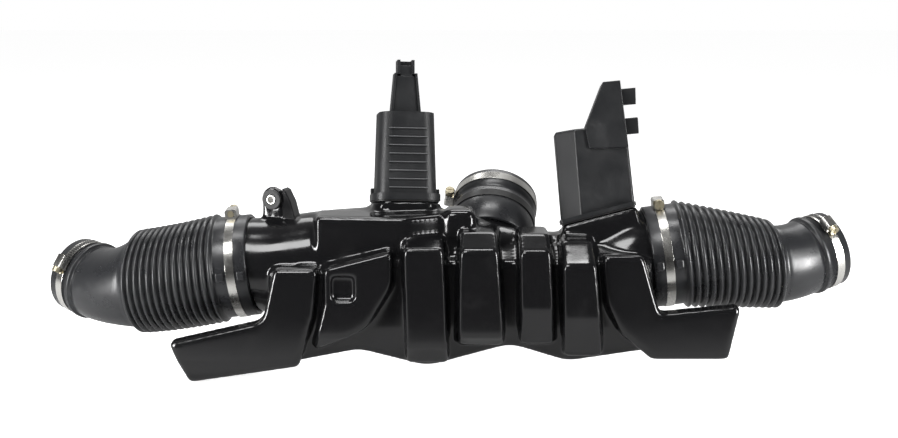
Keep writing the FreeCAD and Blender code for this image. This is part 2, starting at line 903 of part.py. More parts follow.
left_bellows_end = vector(size("left_bellows_end_x"), size("left_bellows_end_y"), size("left_bellows_end_z"))
left_bellows_out = heading(-1, size("left_bellows_yaw"), size("left_bellows_pitch"))
left_mouth = vector(size("left_mouth_x"), size("left_mouth_y"), size("left_mouth_z"))
left_mouth_out = heading(-1, size("left_mouth_yaw"), size("left_mouth_pitch"))
right_bellows_end = vector(size("right_bellows_end_x"), size("right_bellows_end_y"), size("right_bellows_end_z"))
right_bellows_out = heading(1, size("right_bellows_yaw"), size("right_bellows_pitch"))
right_mouth = vector(size("right_mouth_x"), size("right_mouth_y"), size("right_mouth_z"))
right_mouth_out = heading(1, size("right_mouth_yaw"), size("right_mouth_pitch"))
CUFF_SETBACK = 2.0
left_cuff_start = left_end + left_out * CUFF_SETBACK
right_cuff_start = right_end + right_out * CUFF_SETBACK
finished.append(("left_bellows_hose", hose(
    "left_bellows_hose", left_cuff_start, left_out, "left_cuff_length", left_bellows_end, left_bellows_out,
    left_mouth, left_mouth_out, "left_rib_r", "left_rib_end_r",
)))
finished.append(("right_bellows_hose", hose(
    "right_bellows_hose", right_cuff_start, right_out, "right_cuff_length", right_bellows_end,
    right_bellows_out, right_mouth, right_mouth_out, "right_rib_r", "right_rib_end_r",
)))


# Throttle hose


def on_throttle(distance):
    return FreeCAD.Placement(throttle_out * distance, along(throttle_out))


throttle_mouth = throttle_out * size("throttle_mouth")
sleeve_outside = cylinder(
    "throttle_sleeve", cell("throttle_cuff_r"), "Sheet.throttle_mouth - Sheet.throttle_hose_start",
    on_throttle(size("throttle_hose_start")),
)
sleeve_waist = cylinder(
    "throttle_waist", "Sheet.throttle_spigot_r + Sheet.band_gap",
    "Sheet.throttle_mouth - Sheet.throttle_hose_start", on_throttle(size("throttle_hose_start")),
)
sleeve_bore = cylinder(
    "throttle_sleeve_bore", cell("throttle_bore_r"), "Sheet.throttle_cuff_length + 1",
    on_throttle(size("throttle_mouth") - size("throttle_cuff_length")),
)
finished.append(("throttle_hose", cut(
    "throttle_hose", sleeve_outside, fuse("throttle_hollow", [sleeve_waist, sleeve_bore]),
)))


# Worm clamps


def clamp(name, centre, direction, roll, radius):
    """Band, housing and screw about a cuff; the housing sits at the roll angle from the front."""
    place = FreeCAD.Placement(centre, along(direction).multiply(FreeCAD.Rotation(vector(0, 0, 1), roll)))

    def at(x, y, z, turn=FreeCAD.Rotation()):
        return place.multiply(FreeCAD.Placement(vector(x, y, z), turn))

    inside = radius + " + Sheet.band_gap"
    outside = radius + " + Sheet.band_gap + Sheet.band_thickness"
    half = size("band_width") / 2
    hoop = cylinder(name + "_hoop", outside, cell("band_width"), at(0, 0, -half))
    core = cylinder(name + "_core", inside, "Sheet.band_width + 2", at(0, 0, -half - 1))
    finished.append((name + "_band", cut(name + "_band", hoop, core)))

    crown = evaluate(outside)
    block = box(
        name + "_block", "Sheet.housing_height + 4", cell("housing_length"), cell("housing_width"),
        at(crown - 4, -size("housing_length") / 2, -size("housing_width") / 2),
    )
    tangent = place.Rotation.multVec(vector(0, 1, 0))
    middle = crown + size("housing_height") / 2
    outwards = place.Rotation.multVec(vector(1, 0, 0))
    shell = rounded(name + "_shell", block, size("housing_round"), lambda edge: (
        upright_edges(tangent)(edge) and (edge.CenterOfMass - centre).dot(outwards) > middle
    ))
    seat = cylinder(
        name + "_seat", outside + " + Sheet.band_gap", "Sheet.housing_width + 2",
        at(0, 0, -size("housing_width") / 2 - 1),
    )
    quarter = FreeCAD.Rotation(vector(1, 0, 0), -90)
    tunnel = cylinder(
        name + "_tunnel", "Sheet.worm_r + Sheet.worm_gap", "Sheet.housing_length + 2",
        at(crown + size("worm_lift"), -size("housing_length") / 2 - 1, 0, quarter),
    )
    finished.append((name + "_housing", cut(
        name + "_housing", shell, fuse(name + "_room", [seat, tunnel]),
    )))

    worm = cylinder(
        name + "_worm", cell("worm_r"), "Sheet.housing_length + 2 * Sheet.worm_gap",
        at(crown + size("worm_lift"), -size("housing_length") / 2 - size("worm_gap"), 0, quarter),
    )
    head = cylinder(
        name + "_head", cell("head_r"), cell("head_length"),
        at(crown + size("worm_lift") + size("worm_gap"), size("housing_length") / 2 + size("worm_gap"), 0, quarter),
    )
    slot = box(
        name + "_slot", "4 * Sheet.head_r", cell("slot_depth"), cell("slot_width"),
        at(
            crown + size("worm_lift") - 2 * size("head_r"),
            size("housing_length") / 2 + size("worm_gap") + size("head_length") - size("slot_depth"),
            -size("slot_width") / 2,
        ),
    )
    finished.append((name + "_screw", cut(name + "_screw", fuse(name + "_shank", [worm, head]), slot)))


clamp(
    "left_duct_clamp", left_cuff_start + left_out * size("left_cuff_length") * 0.5, left_out,
    size("left_duct_clamp_roll"), cell("cuff_r"),
)
clamp(
    "left_inlet_clamp", left_mouth - left_mouth_out * size("inlet_cuff_length") * 0.45, left_mouth_out,
    size("left_inlet_clamp_roll"), cell("inlet_cuff_r"),
)
clamp(
    "right_duct_clamp", right_cuff_start + right_out * size("right_cuff_length") * 0.5, right_out,
    -size("right_duct_clamp_roll"), cell("cuff_r"),
)
clamp(
    "right_inlet_clamp", right_mouth - right_mouth_out * size("inlet_cuff_length") * 0.4, right_mouth_out,
    -size("right_inlet_clamp_roll"), cell("inlet_cuff_r"),
)
clamp(
    "throttle_clamp", throttle_mouth - throttle_out * 11, throttle_out, 100, cell("throttle_cuff_r"),
)
clamp(
    "spigot_clamp", throttle_out * (size("throttle_hose_start") + 7), throttle_out, 180, cell("throttle_cuff_r"),
)


# Mount grommet and its steel sleeve


def on_tab(distance):
    return tab_place.multiply(FreeCAD.Placement(vector(0, distance, 0), FreeCAD.Rotation(vector(1, 0, 0), -90)))


half_grommet = size("grommet_length") / 2
grommet_roll = cylinder("grommet_roll", cell("grommet_r"), cell("grommet_length"), on_tab(-half_grommet))
grommet_neck = cylinder(
    "grommet_neck", "Sheet.tab_hole_r - Sheet.grommet_gap", cell("grommet_length"), on_tab(-half_grommet),
)
groove_ring = cylinder(
    "groove_ring", "Sheet.grommet_r + 1", "Sheet.tab_thickness + 2 * Sheet.grommet_gap",
    on_tab(-size("tab_thickness") / 2 - size("grommet_gap")),
)
grommet_groove = cut("grommet_groove", groove_ring, grommet_neck)
grommet_bore = cylinder(
    "grommet_bore", "Sheet.sleeve_r + Sheet.grommet_gap", "Sheet.grommet_length + 2", on_tab(-half_grommet - 1),
)
finished.append(("mount_grommet", cut(
    "mount_grommet", cut("grommet_grooved", grommet_roll, grommet_groove), grommet_bore,
)))
sleeve_tube = cylinder("sleeve_tube", cell("sleeve_r"), cell("sleeve_length"), on_tab(-size("sleeve_length") / 2))
sleeve_hole = cylinder(
    "sleeve_hole", cell("sleeve_bore_r"), "Sheet.sleeve_length + 2", on_tab(-size("sleeve_length") / 2 - 1),
)
finished.append(("grommet_sleeve", cut("grommet_sleeve", sleeve_tube, sleeve_hole)))


# Left tuning chamber with its seal

seal_outside = pad(
    "left_seal_outside", left_seat, "Sheet.left_collar_width - 2 * Sheet.seal_inset",
    "Sheet.left_collar_depth - 2 * Sheet.seal_inset", 0, cell("seal_thickness"), size("left_collar_round") - 2,
)
seal_inside = pad(
    "left_seal_inside", left_seat, "Sheet.left_foot_width - 4 * Sheet.left_wall",
    "Sheet.left_foot_depth - 4 * Sheet.left_wall", -1, "Sheet.seal_thickness + 2", size("left_round") - 5,
)
finished.append(("left_chamber_seal", cut("left_chamber_seal", seal_outside, seal_inside)))

left_base = left_seat.multiply(FreeCAD.Placement(vector(0, 0, size("seal_thickness")), FreeCAD.Rotation()))


def on_left(x, y, z):
    return left_base.multiply(FreeCAD.Placement(vector(x, y, z), FreeCAD.Rotation()))


left_collar = pad(
    "left_collar", left_base, cell("left_collar_width"), cell("left_collar_depth"), 0,
    cell("left_collar_height"), size("left_collar_round"),
)
left_shell = rounded(
    "left_shell",
    wedge(
        "left_shell_block", cell("left_foot_width"), cell("left_head_width"), cell("left_foot_depth"),
        cell("left_height"), left_base,
    ),
    size("left_round"), upright_edges(left_up),
)
left_void = rounded(
    "left_void",
    wedge(
        "left_void_block", "Sheet.left_foot_width - 2 * Sheet.left_wall",
        "Sheet.left_head_width - 2 * Sheet.left_wall", "Sheet.left_foot_depth - 2 * Sheet.left_wall",
        "Sheet.left_height - Sheet.left_wall", left_base,
    ),
    size("left_round") - size("left_wall"), upright_edges(left_up),
)
left_pieces = [left_collar, left_shell]
for number in range(int(round(size("rib_number")))):
    left_pieces.append(box(
        "left_rib%d" % number, cell("rib_length"), "Sheet.rib_stand + 1", cell("rib_height"),
        on_left(
            -size("rib_length") / 2, -size("left_foot_depth") / 2 - size("rib_stand"),
            size("rib_first") + size("rib_pitch") * number,
        ),
    ))
post_foot = on_left(0, 0, size("left_height") - 0.5)
left_post = wedge(
    "left_post", cell("post_foot_width"), cell("post_head_width"), cell("post_depth"), cell("post_height"),
    post_foot,
)
post_channel = wedge(
    "post_channel", "Sheet.post_foot_width - 2 * Sheet.post_flange",
    "Sheet.post_head_width - 2 * Sheet.post_flange", cell("post_depth"), "Sheet.post_height + 2",
    on_left(0, -size("post_flange"), size("left_height") + size("post_flange")),
)
left_fork = box(
    "left_fork", cell("fork_width"), cell("post_depth"), "Sheet.fork_height + 1",
    on_left(-size("fork_width") / 2, -size("post_depth") / 2, size("left_height") + size("post_height") - 1.5),
)
fork_gap = box(
    "fork_gap", "Sheet.fork_width - 2 * Sheet.post_flange", "Sheet.post_depth - Sheet.post_flange",
    "Sheet.fork_height + 5",
    on_left(
        -size("fork_width") / 2 + size("post_flange"), -size("post_depth") / 2 - 0.1,
        size("left_height") + size("post_height") - 1.5,
    ),
)
left_pieces.append(cut("left_stem", left_post, post_channel))
left_pieces.append(cut("left_prongs", left_fork, fork_gap))
for side in (-1, 1):
    left_pieces.append(box(
        "left_clip%d" % (side + 1), "3", "8", "Sheet.left_collar_height + 6",
        on_left(side * size("left_foot_width") / 2 - 1.5 + side * 2.5, -4, 0),
    ))
finished.append(("left_tuning_chamber", cut(
    "left_tuning_chamber", fuse("left_chamber_solid", left_pieces), left_void,
)))


# Right tuning chamber with its seal

right_seal_outside = pad(
    "right_seal_outside", right_seat, "Sheet.right_flange_width - 2 * Sheet.seal_inset",
    "Sheet.right_flange_depth - 2 * Sheet.seal_inset", 0, cell("seal_thickness"), size("right_round"),
)
right_seal_inside = pad(
    "right_seal_inside", right_seat, "Sheet.right_flange_width - 24", "Sheet.right_flange_depth - 24", -1,
    "Sheet.seal_thickness + 2", size("right_round"),
)
finished.append(("right_chamber_seal", cut("right_chamber_seal", right_seal_outside, right_seal_inside)))

right_base = right_seat.multiply(FreeCAD.Placement(vector(0, 0, size("seal_thickness")), FreeCAD.Rotation()))


def on_right(x, y, z):
    return right_stand.multiply(FreeCAD.Placement(vector(x, y, z), FreeCAD.Rotation()))


def five_sided(name, place, scale, inset):
    corners = (
        ("(-Sheet.right_foot_half + %s) * %s" % (inset, scale), "(Sheet.right_foot_back - %s) * %s" % (inset, scale)),
        ("(-Sheet.right_foot_half + %s) * %s" % (inset, scale), "(Sheet.right_foot_side + %s) * %s" % (inset, scale)),
        ("Sheet.right_foot_edge * %s" % scale, "(Sheet.right_foot_front + %s) * %s" % (inset, scale)),
        ("(Sheet.right_foot_half - %s) * %s" % (inset, scale), "(Sheet.right_foot_front + 8 + %s) * %s" % (inset, scale)),
        ("(Sheet.right_foot_half - %s) * %s" % (inset, scale), "(Sheet.right_foot_back - %s) * %s" % (inset, scale)),
    )
    outline = sketch(name, FreeCAD.Rotation(), corners)
    outline.Placement = place
    return outline


right_block = loft("right_block", [
    five_sided("right_foot", right_base, "1", "0"),
    five_sided("right_top", on_right(0, 0, size("right_box_height")), cell("right_top_scale"), "0"),
], True)
right_void = loft("right_void", [
    five_sided("right_void_foot", right_base, "1", "Sheet.left_wall"),
    five_sided(
        "right_void_top", on_right(0, 0, size("right_box_height") - size("left_wall")),
        cell("right_top_scale"), "Sheet.left_wall",
    ),
], True)
right_flange = pad(
    "right_flange", right_base, cell("right_flange_width"), cell("right_flange_depth"), 0,
    cell("right_flange_height"), size("right_round"),
)
tower_outline = sketch("tower_outline", FRONT_PLANE, (
    (cell("tower_left"), cell("tower_step")),
    (cell("tower_right"), cell("tower_step")),
    (cell("tower_top_right"), cell("tower_height")),
    (cell("tower_top_left"), cell("tower_height")),
    (cell("tower_left"), cell("right_box_height")),
))
tower_outline.Placement = on_right(0, size("tower_front"), 0).multiply(
    FreeCAD.Placement(vector(0, 0, 0), FRONT_PLANE)
)
tower = extrude(
    "tower", tower_outline, right_stand.Rotation.multVec(REARWARD), "Sheet.tower_back - Sheet.tower_front",
)
right_pieces = [rounded("right_shell", right_block, size("right_round")), right_flange, tower]
for index, level in enumerate(("clip_upper", "clip_lower")):
    plate = box(
        "right_clip%d_plate" % index, cell("clip_length"), cell("clip_thickness"), cell("clip_height"),
        on_right(size("tower_right") - 4, size("tower_front") + 6, size(level)),
    )
    notch = box(
        "right_clip%d_notch" % index, cell("clip_length"), "3 * Sheet.clip_thickness", cell("clip_slot"),
        on_right(
            size("tower_right") + 6, size("tower_front") + 6 - size("clip_thickness"),
            size(level) + (size("clip_height") - size("clip_slot")) / 2,
        ),
    )
    right_pieces.append(cut("right_clip%d" % index, plate, notch))
finished.append(("right_tuning_chamber", cut(
    "right_tuning_chamber", fuse("right_chamber_solid", right_pieces), right_void,
)))


# Move every piece so that the throttle mouth is the origin, check it and write it

doc.recompute()
os.makedirs("parts", exist_ok=True)
for label, piece in finished:
    piece.Label = label
    piece.Placement = FreeCAD.Placement(throttle_mouth * -1, FreeCAD.Rotation())
doc.recompute()
for piece in doc.Objects:
    if "Invalid" in piece.State or "Error" in piece.State:
        raise RuntimeError("%s did not build" % piece.Name)
for label, piece in finished:
    if piece.Shape.isNull() or not piece.Shape.isValid():
        raise RuntimeError("%s is not a sound shape" % label)
    piece.Shape.exportStep("parts/%s.step" % label)
    print(label, len(piece.Shape.Solids), round(piece.Shape.Volume / 1000.0, 1))
for label, spot, way in (
    ("left_inlet", left_mouth, left_mouth_out),
    ("right_inlet", right_mouth, right_mouth_out),
    ("throttle_outlet", throttle_mouth, throttle_out),
    ("grommet_bolt", tab_place.Base, tab_facing * -1),
):
    spot = spot - throttle_mouth
    print(label, [round(value, 3) for value in spot], [round(value, 5) for value in way])
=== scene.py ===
import json
import math

import bmesh
import bpy
import numpy
from mathutils import Matrix, Vector


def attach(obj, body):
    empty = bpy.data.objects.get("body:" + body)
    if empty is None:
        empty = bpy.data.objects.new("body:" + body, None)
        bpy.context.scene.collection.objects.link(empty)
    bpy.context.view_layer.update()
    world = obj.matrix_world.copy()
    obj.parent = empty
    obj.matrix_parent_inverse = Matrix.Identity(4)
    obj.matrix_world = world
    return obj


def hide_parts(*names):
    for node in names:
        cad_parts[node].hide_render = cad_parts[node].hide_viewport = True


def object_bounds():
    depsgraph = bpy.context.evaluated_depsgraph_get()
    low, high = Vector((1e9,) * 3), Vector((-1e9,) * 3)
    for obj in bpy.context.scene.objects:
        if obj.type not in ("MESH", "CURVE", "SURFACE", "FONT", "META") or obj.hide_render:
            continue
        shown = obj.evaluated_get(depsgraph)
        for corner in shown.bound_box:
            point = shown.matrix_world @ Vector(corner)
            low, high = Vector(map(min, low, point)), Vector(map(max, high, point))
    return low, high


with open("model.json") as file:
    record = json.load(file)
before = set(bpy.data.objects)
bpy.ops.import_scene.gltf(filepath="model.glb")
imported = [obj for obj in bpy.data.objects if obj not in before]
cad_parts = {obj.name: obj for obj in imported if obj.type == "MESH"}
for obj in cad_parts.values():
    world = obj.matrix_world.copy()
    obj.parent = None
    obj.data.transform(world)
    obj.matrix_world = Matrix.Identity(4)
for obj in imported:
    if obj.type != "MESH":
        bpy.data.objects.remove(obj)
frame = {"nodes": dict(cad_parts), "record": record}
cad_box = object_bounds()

# Resonator body
# One black blow-moulded piece: the duct with its spigots, the lobed chamber
# hanging in front of it, the two wings and the seats of the tuning chambers.
# The mould leaves every corner soft, so the solid is skinned and relaxed.

BODY_SKIN = 0.0024
BODY_RELAX = 11
BODY_RELAX_SHARE = 0.5
MERGE = 0.00002
SKIN_INPUTS = (
    ("Wave Scale", 20.0), ("Grain Scale", 900.0), ("Wave", 0.5), ("Rough Low", 0.1), ("Rough High", 0.3),
)
SKIN_OUTPUTS = ("Height", "Roughness", "Dust")
WAVE_DETAIL = 2.0
GRAIN_DETAIL = 3.0
PATCH_SCALE = 34.0
PATCH_DETAIL = 6.0
PATCH_ROUGHNESS = 0.62
ROUGH_START = 0.35
ROUGH_FULL = 0.7
DUST_START = 0.58
DUST_FULL = 0.8


def surface_ripple():
    """Shader group: low waves and fine grain of a moulded skin, with rubbed patches."""
    group = bpy.data.node_groups.new("moulded_skin", "ShaderNodeTree")
    for label, value in SKIN_INPUTS:
        socket = group.interface.new_socket(label, in_out="INPUT", socket_type="NodeSocketFloat")
        socket.default_value = value
    for label in SKIN_OUTPUTS:
        group.interface.new_socket(label, in_out="OUTPUT", socket_type="NodeSocketFloat")
    nodes = group.nodes
    links = group.links
    entry = nodes.new("NodeGroupInput")
    leave = nodes.new("NodeGroupOutput")
    place = nodes.new("ShaderNodeTexCoord")
    wave = nodes.new("ShaderNodeTexNoise")
    wave.inputs["Detail"].default_value = WAVE_DETAIL
    grain = nodes.new("ShaderNodeTexNoise")
    grain.inputs["Detail"].default_value = GRAIN_DETAIL
    patches = nodes.new("ShaderNodeTexNoise")
    patches.inputs["Scale"].default_value = PATCH_SCALE
    patches.inputs["Detail"].default_value = PATCH_DETAIL
    patches.inputs["Roughness"].default_value = PATCH_ROUGHNESS
    for texture in (wave, grain, patches):
        links.new(place.outputs["Object"], texture.inputs["Vector"])
    links.new(entry.outputs["Wave Scale"], wave.inputs["Scale"])
    links.new(entry.outputs["Grain Scale"], grain.inputs["Scale"])
    mix = nodes.new("ShaderNodeMix")
    links.new(entry.outputs["Wave"], mix.inputs["Factor"])
    links.new(grain.outputs["Fac"], mix.inputs["A"])
    links.new(wave.outputs["Fac"], mix.inputs["B"])
    links.new(mix.outputs["Result"], leave.inputs["Height"])
    spread = nodes.new("ShaderNodeMapRange")
    spread.inputs["From Min"].default_value = ROUGH_START
    spread.inputs["From Max"].default_value = ROUGH_FULL
    links.new(patches.outputs["Fac"], spread.inputs["Value"])
    links.new(entry.outputs["Rough Low"], spread.inputs["To Min"])
    links.new(entry.outputs["Rough High"], spread.inputs["To Max"])
    links.new(spread.outputs["Result"], leave.inputs["Roughness"])
    dust = nodes.new("ShaderNodeMapRange")
    dust.inputs["From Min"].default_value = DUST_START
    dust.inputs["From Max"].default_value = DUST_FULL
    links.new(patches.outputs["Fac"], dust.inputs["Value"])
    links.new(dust.outputs["Result"], leave.inputs["Dust"])
    return group


moulded_skin = surface_ripple()


def finish_of(name, colour, dust_colour, metallic, values, bump, bump_depth):
    """Material of one finish, its ripple, gloss and dust read from the moulded skin group."""
    material = bpy.data.materials.new(name)
    material.use_nodes = True
    nodes = material.node_tree.nodes
    links = material.node_tree.links
    shader = nodes["Principled BSDF"]
    shader.inputs["Metallic"].default_value = metallic
    skin = nodes.new("ShaderNodeGroup")
    skin.node_tree = moulded_skin
    for label, value in values.items():
        skin.inputs[label].default_value = value
    tint = nodes.new("ShaderNodeMix")
    tint.data_type = "RGBA"
    tint.inputs["A"].default_value = (*colour, 1.0)
    tint.inputs["B"].default_value = (*dust_colour, 1.0)
    links.new(skin.outputs["Dust"], tint.inputs["Factor"])
    links.new(tint.outputs["Result"], shader.inputs["Base Color"])
    links.new(skin.outputs["Roughness"], shader.inputs["Roughness"])
    relief = nodes.new("ShaderNodeBump")
    relief.inputs["Strength"].default_value = bump
    relief.inputs["Distance"].default_value = bump_depth
    links.new(skin.outputs["Height"], relief.inputs["Height"])
    links.new(relief.outputs["Normal"], shader.inputs["Normal"])
    return material


def merged_copy(node):
    """A CAD node's surface as one connected mesh."""
    shape = bmesh.new()
    shape.from_mesh(frame["nodes"][node].data)
    bmesh.ops.remove_doubles(shape, verts=shape.verts, dist=MERGE)
    return shape


def add_piece(name, shape, material, slot, *nodes):
    """Puts a finished mesh in the scene as a piece that rides on the part."""
    mesh = bpy.data.meshes.new(name)
    shape.to_mesh(mesh)
    shape.free()
    piece = bpy.data.objects.new(name, mesh)
    bpy.context.scene.collection.objects.link(piece)
    mesh.materials.append(material)
    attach(piece, "root")
    if nodes:
        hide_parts(*nodes)
    return piece


def even_shading(piece):
    """Keeps flat faces flat beside their broken edges."""
    even = piece.modifiers.new("even", "WEIGHTED_NORMAL")
    even.keep_sharp = True
    return piece


gloss_black = finish_of(
    "gloss_black_plastic", (0.006, 0.006, 0.0065), (0.011, 0.011, 0.0115), metallic=0.0,
    values={"Wave Scale": 16.0, "Grain Scale": 500.0, "Wave": 0.97, "Rough Low": 0.09, "Rough High": 0.2},
    bump=0.25, bump_depth=0.0015,
)

body = add_piece(
    "resonator_body_skin", merged_copy("resonator_body"), gloss_black, "gloss_black_plastic",
    "resonator_body",
)
skin = body.modifiers.new("skin", "REMESH")
skin.mode = "VOXEL"
skin.voxel_size = BODY_SKIN
skin.use_smooth_shade = True
relax = body.modifiers.new("relax", "SMOOTH")
relax.factor = BODY_RELAX_SHARE
relax.iterations = BODY_RELAX


# Bellows hoses
# Two moulded rubber hoses, each with a wide cuff over the duct's spigot, a
# ribbed bellows, a smooth bent neck and a narrow cuff for an air cleaner pipe.

mounts = {mount["name"]: mount for mount in frame["record"]["mounts"]}
THROTTLE_REACH = 0.097
throttle_out = Vector(mounts["throttle_outlet"]["axis"]).normalized()
duct_centre = throttle_out * -THROTTLE_REACH
HOSE_SIDES = 72
SPIGOT_R = 0.049
CUFF_R = 0.053
CUFF_SETBACK = 0.002
INLET_BORE_R = 0.036
INLET_CUFF_R = 0.040
INLET_CUFF_LENGTH = 0.032
RIBS = 14
RIB_DEPTH = 0.0060
RIB_STEPS = 10
RIB_CREST = 0.3
SHOULDER_RIBS = 1.6
SHOULDER_LOW = 0.55
SHOULDER_SHARE = 0.06
HOSE_WALL = 0.0024
INLET_WALL = 0.004
NECK_STEPS = 12
NECK_EASE = 2.4
CUFF_LIP = 0.0012
CUFF_TURN = 0.001
CUFF_GAP = 0.0001
# Inlet cuff: distance from its start, rise over its radius
INLET_CUFF = (
    (0.0, -0.0012), (0.0018, -0.0012), (0.0024, 0.0018), (0.0034, 0.0022), (0.0062, 0.0022),
    (0.007, 0.0018), (0.0076, 0.0), (0.031, 0.0), (0.032, -0.001),
)


def heading(side, yaw, pitch):
    """Direction out to one side, turned to the rear by yaw and up by pitch, in degrees."""
    level = math.cos(math.radians(pitch))
    return Vector((
        side * level * math.cos(math.radians(yaw)),
        level * math.sin(math.radians(yaw)),
        math.sin(math.radians(pitch)),
    ))


def facing(centre, direction):
    """Placement whose Z runs along a direction and whose X looks to the front."""
    front = Vector((0.0, -1.0, 0.0))
    front = (front - direction * front.dot(direction)).normalized()
    side = direction.cross(front)
    turn = Matrix((front, side, direction)).transposed().to_4x4()
    return Matrix.Translation(centre) @ turn


def ring_tube(stations):
    """Closed wall through rings of (centre, direction, radius), the last joined to the first."""
    shape = bmesh.new()
    made = bmesh.ops.create_circle(shape, cap_ends=False, radius=1.0, segments=HOSE_SIDES)
    edges = list({edge for vert in made["verts"] for edge in vert.link_edges})
    places = []
    for centre, direction, radius in stations:
        places.append(facing(centre, direction) @ Matrix.Diagonal((radius, radius, radius, 1.0)))
    bmesh.ops.transform(shape, matrix=places[0], verts=made["verts"])
    first = edges
    before = places[0]
    for after in places[1:]:
        grown = bmesh.ops.extrude_edge_only(shape, edges=edges)["geom"]
        edges = [item for item in grown if isinstance(item, bmesh.types.BMEdge)]
        verts = [item for item in grown if isinstance(item, bmesh.types.BMVert)]
        bmesh.ops.transform(shape, matrix=after @ before.inverted(), verts=verts)
        before = after
    bmesh.ops.bridge_loops(shape, edges=first + edges)
    bmesh.ops.recalc_face_normals(shape, faces=shape.faces)
    for face in shape.faces:
        face.smooth = True
    return shape


def hose_stations(start, out, cuff_length, bend, bend_out, mouth, mouth_out, rib_r, rib_end_r):
    """Rings of the outer wall from the duct to the mouth, then of the inner wall back."""
    back = start + out * cuff_length
    outer = []
    inner = []

    def ring(centre, direction, radius, thick):
        outer.append((centre, direction, radius))
        inner.append((centre, direction, radius - thick))

    cuff = (
        (0.0, CUFF_R - CUFF_LIP),
        (CUFF_LIP, CUFF_R),
        (cuff_length - CUFF_TURN, CUFF_R),
        (cuff_length, CUFF_R),
    )
    for along, radius in cuff:
        ring(start + out * along, out, radius, radius - SPIGOT_R - CUFF_GAP)
    reach = (bend - back).length
    steps = RIBS * RIB_STEPS
    for step in range(1, steps + 1):
        share = step / steps
        centre = (back + out * reach * share).lerp(bend - bend_out * reach * (1 - share), share)
        direction = out.lerp(bend_out, share).normalized()
        swell = (0.5 - 0.5 * math.cos(2 * math.pi * step / RIB_STEPS)) ** RIB_CREST
        crest = rib_r + (rib_end_r - rib_r) * share
        shoulder = min(1.0, (steps - step) / (SHOULDER_RIBS * RIB_STEPS) + SHOULDER_LOW)
        crest = crest * (1 - SHOULDER_SHARE + SHOULDER_SHARE * shoulder)
        ring(centre, direction, crest - RIB_DEPTH * (1 - swell), HOSE_WALL)
    cuff_start = mouth - mouth_out * INLET_CUFF_LENGTH
    reach = (cuff_start - bend).length
    valley = rib_end_r - RIB_DEPTH
    for step in range(1, NECK_STEPS + 1):
        share = step / NECK_STEPS
        centre = (bend + bend_out * reach * share).lerp(cuff_start - mouth_out * reach * (1 - share), share)
        direction = bend_out.lerp(mouth_out, share).normalized()
        ease = 1 - (1 - share) ** NECK_EASE
        thick = HOSE_WALL + (INLET_WALL - HOSE_WALL) * ease
        ring(centre, direction, valley + (INLET_CUFF_R - valley) * ease, thick)
    for along, lift in INLET_CUFF:
        radius = INLET_CUFF_R + lift
        ring(cuff_start + mouth_out * along, mouth_out, radius, radius - INLET_BORE_R)
    return outer + inner[::-1]


hose_rubber = finish_of(
    "hose_rubber", (0.016, 0.0165, 0.018), (0.032, 0.033, 0.035), metallic=0.0,
    values={"Wave Scale": 60.0, "Grain Scale": 1400.0, "Wave": 0.4, "Rough Low": 0.24, "Rough High": 0.4},
    bump=0.18, bump_depth=0.0004,
)

left_out = heading(-1, 4.7, -6.7)
left_end = duct_centre + Vector((-0.240, 0.0, -0.002))
left_bend = duct_centre + Vector((-0.369, 0.030, -0.027))
right_out = heading(1, 1.3, 7.3)
right_end = duct_centre + Vector((0.166, 0.0, 0.005))
right_bend = duct_centre + Vector((0.304, 0.020, -0.006))
# Side, start and direction, cuff length, bend and direction there, rib radius at each end
HOSES = (
    ("left", left_end, left_out, 0.034, left_bend, heading(-1, 15.2, -4.4), 0.057, 0.0555),
    ("right", right_end, right_out, 0.032, right_bend, heading(1, 10.8, 4.8), 0.057, 0.0475),
)
LUG_SIZE = Vector((0.006, 0.009, 0.008))
LUG_INSET = 0.006
LUG_BROKEN = 0.0012
for side, end, out, cuff_length, bend, bend_out, rib_r, rib_end_r in HOSES:
    inlet = mounts[side + "_inlet"]
    start = end + out * CUFF_SETBACK
    mouth = Vector(inlet["pos_m"])
    mouth_out = Vector(inlet["axis"]).normalized()
    shape = ring_tube(hose_stations(
        start, out, cuff_length, bend, bend_out, mouth, mouth_out, rib_r, rib_end_r,
    ))
    for along in (LUG_INSET, cuff_length - LUG_INSET):
        made = bmesh.ops.create_cube(shape, size=1.0, matrix=(
            facing(start + out * along, out) @ Matrix.Translation((CUFF_R, 0.0, 0.0))
            @ Matrix.Diagonal((*LUG_SIZE, 1.0))
        ))
        edges = list({edge for vert in made["verts"] for edge in vert.link_edges})
        bmesh.ops.bevel(
            shape, geom=edges, offset=LUG_BROKEN, offset_type="OFFSET", segments=2, profile=0.5,
            affect="EDGES", material=-1,
        )
    add_piece(side + "_bellows_rubber", shape, hose_rubber, "hose_rubber", side + "_bellows_hose")


# Throttle hose
# Short thick rubber sleeve over the duct's middle spigot, with a plain mouth for
# the throttle body and a slight roll at each lip.

THROTTLE_CUFF_R = 0.045
THROTTLE_LIP_R = 0.0438
THROTTLE_BORE_R = 0.041
THROTTLE_SPIGOT_R = 0.0402
THROTTLE_START = 0.022
THROTTLE_STEP = 0.075
THROTTLE_ROLL = 0.0012
THROTTLE_MOUTH_ROLL = 0.0015
